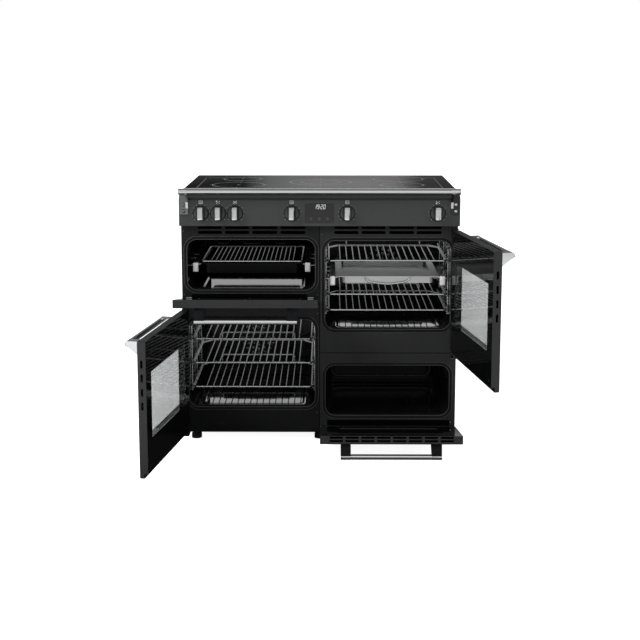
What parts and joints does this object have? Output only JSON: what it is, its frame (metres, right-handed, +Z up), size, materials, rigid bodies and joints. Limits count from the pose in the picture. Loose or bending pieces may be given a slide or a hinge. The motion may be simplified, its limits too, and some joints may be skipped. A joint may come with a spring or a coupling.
{
  "type": "range cooker",
  "caption": "Free-standing electric range cooker with a glass hob, front rail, control fascia with rotary knobs, grill, two tall ovens with side-hinged doors and a low slow compartment.",
  "frame": {"origin": "floor level, in the middle of the overall width and of the overall depth with all four doors open", "axes": "+X to the right as the cook faces it, +Y towards the wall behind, +Z up"},
  "size_m": [1.2654, 1.0854, 0.9408],
  "materials": {
    "body_paint": "satin dark grey stove enamel",
    "galvanised": "galvanised sheet",
    "enamel": "gloss vitreous enamel",
    "fascia_paint": "satin anthracite",
    "door_paint": "gloss black enamel",
    "black_glass": "black ceramic glass, bevelled edge",
    "window_glass": "tinted clear",
    "chrome": "polished",
    "chrome_wire": "plated wire",
    "bright_steel": "pressed sheet",
    "dull_steel": "heat-darkened",
    "seal_rubber": "matt",
    "black_plastic": "matt",
    "knob_plastic": "gloss black with a bright grip",
    "ceramic": "insulating disc",
    "fan_alu": "pressed"
  },
  "bodies": {
    "chassis": {"back_panel": "galvanised", "base_panel": "galvanised", "bracket_screws": "chrome", "clock_window": "black_glass", "control_fascia": "fascia_paint", "control_switches": "black_plastic", "door_hinges": "bright_steel", "door_seals": "seal_rubber", "fan_covers": "enamel", "fan_motors": "dull_steel", "feet": "black_plastic", "front_panel_left": "enamel", "front_panel_right_lower": "enamel", "front_panel_right_upper": "enamel", "front_rail": "chrome", "grill_element": "dull_steel", "hob_elements": "ceramic", "hob_glass": "black_glass", "hob_tray": "body_paint", "liner_grill": "enamel", "liner_left": "enamel", "liner_right": "enamel", "liner_slow": "enamel", "rail_brackets": "chrome", "runner_guides": "bright_steel", "side_panel_left": "body_paint", "side_panel_right": "body_paint", "side_racks": "chrome_wire", "terminal_box": "black_plastic"},
    "door_right": {"door_right_shell": "door_paint", "door_right_inner": "enamel", "door_right_glass": "window_glass", "door_right_handle": "chrome"},
    "door_left": {"door_left_shell": "door_paint", "door_left_inner": "enamel", "door_left_glass": "window_glass", "door_left_handle": "chrome"},
    "door_grill": {"door_grill_shell": "door_paint", "door_grill_inner": "enamel", "door_grill_handle": "chrome"},
    "door_slow": {"door_slow_shell": "door_paint", "door_slow_inner": "enamel", "door_slow_handle": "chrome"},
    "knob_1": {"knob_1": "knob_plastic"},
    "knob_2": {"knob_2": "knob_plastic"},
    "knob_3": {"knob_3": "knob_plastic"},
    "knob_4": {"knob_4": "knob_plastic"},
    "knob_5": {"knob_5": "knob_plastic"},
    "knob_6": {"knob_6": "knob_plastic"},
    "shelf_right_1": {"shelf_right_1": "chrome_wire"},
    "shelf_left_1": {"shelf_left_1": "chrome_wire"},
    "shelf_right_2": {"shelf_right_2": "chrome_wire"},
    "shelf_left_2": {"shelf_left_2": "chrome_wire"},
    "shelf_right_3": {"shelf_right_3": "chrome_wire"},
    "shelf_left_3": {"shelf_left_3": "chrome_wire"},
    "pan_right": {"pan_right": "bright_steel"},
    "pan_grill": {"pan_grill": "enamel", "grid_grill": "chrome_wire"},
    "impeller_right": {"impeller_right": "fan_alu"},
    "impeller_left": {"impeller_left": "fan_alu"}
  },
  "joints": [
    {"name": "door_right_hinge", "type": "hinge", "parent": "chassis", "child": "door_right", "pos_m": [0.488, -0.062, 0.556], "axis": [0, 0, 1], "range_deg": [-99.6, 0]},
    {"name": "door_left_hinge", "type": "hinge", "parent": "chassis", "child": "door_left", "pos_m": [-0.488, -0.062, 0.263], "axis": [0, 0, -1], "range_deg": [-99.6, 0]},
    {"name": "door_grill_hinge", "type": "hinge", "parent": "chassis", "child": "door_grill", "pos_m": [-0.25, -0.062, 0.526], "axis": [1, 0, 0], "range_deg": [-79.8, 0]},
    {"name": "door_slow_hinge", "type": "hinge", "parent": "chassis", "child": "door_slow", "pos_m": [0.25, -0.062, 0.049], "axis": [1, 0, 0], "range_deg": [-79.8, 0]},
    {"name": "knob_1_turn", "type": "hinge", "parent": "chassis", "child": "knob_1", "pos_m": [-0.4217, -0.086, 0.85], "axis": [0, 1, 0], "range_deg": [0, 270]},
    {"name": "knob_2_turn", "type": "hinge", "parent": "chassis", "child": "knob_2", "pos_m": [-0.36, -0.086, 0.85], "axis": [0, 1, 0], "range_deg": [0, 270]},
    {"name": "knob_3_turn", "type": "hinge", "parent": "chassis", "child": "knob_3", "pos_m": [-0.3, -0.086, 0.85], "axis": [0, 1, 0], "range_deg": [0, 270]},
    {"name": "knob_4_turn", "type": "hinge", "parent": "chassis", "child": "knob_4", "pos_m": [-0.0985, -0.086, 0.85], "axis": [0, 1, 0], "range_deg": [0, 270]},
    {"name": "knob_5_turn", "type": "hinge", "parent": "chassis", "child": "knob_5", "pos_m": [0.0988, -0.086, 0.85], "axis": [0, 1, 0], "range_deg": [0, 270]},
    {"name": "knob_6_turn", "type": "hinge", "parent": "chassis", "child": "knob_6", "pos_m": [0.42, -0.086, 0.85], "axis": [0, 1, 0], "range_deg": [0, 270]},
    {"name": "fan_right_spin", "type": "hinge", "parent": "chassis", "child": "impeller_right", "pos_m": [0.2465, 0.382, 0.59], "axis": [0, 1, 0], "continuous": true},
    {"name": "fan_left_spin", "type": "hinge", "parent": "chassis", "child": "impeller_left", "pos_m": [-0.246, 0.382, 0.292], "axis": [0, 1, 0], "continuous": true},
    {"name": "shelf_right_1_slide", "type": "slide", "parent": "chassis", "child": "shelf_right_1", "axis": [0, -1, 0], "range_m": [0, 0.26]},
    {"name": "shelf_left_1_slide", "type": "slide", "parent": "chassis", "child": "shelf_left_1", "axis": [0, -1, 0], "range_m": [0, 0.26]},
    {"name": "shelf_right_2_slide", "type": "slide", "parent": "chassis", "child": "shelf_right_2", "axis": [0, -1, 0], "range_m": [0, 0.26]},
    {"name": "shelf_left_2_slide", "type": "slide", "parent": "chassis", "child": "shelf_left_2", "axis": [0, -1, 0], "range_m": [0, 0.26]},
    {"name": "shelf_right_3_slide", "type": "slide", "parent": "chassis", "child": "shelf_right_3", "axis": [0, -1, 0], "range_m": [0, 0.26]},
    {"name": "shelf_left_3_slide", "type": "slide", "parent": "chassis", "child": "shelf_left_3", "axis": [0, -1, 0], "range_m": [0, 0.26]},
    {"name": "pan_right_slide", "type": "slide", "parent": "chassis", "child": "pan_right", "axis": [0, -1, 0], "range_m": [0, 0.24]},
    {"name": "pan_grill_slide", "type": "slide", "parent": "chassis", "child": "pan_grill", "axis": [0, -1, 0], "range_m": [0, 0.24]}
  ]
}
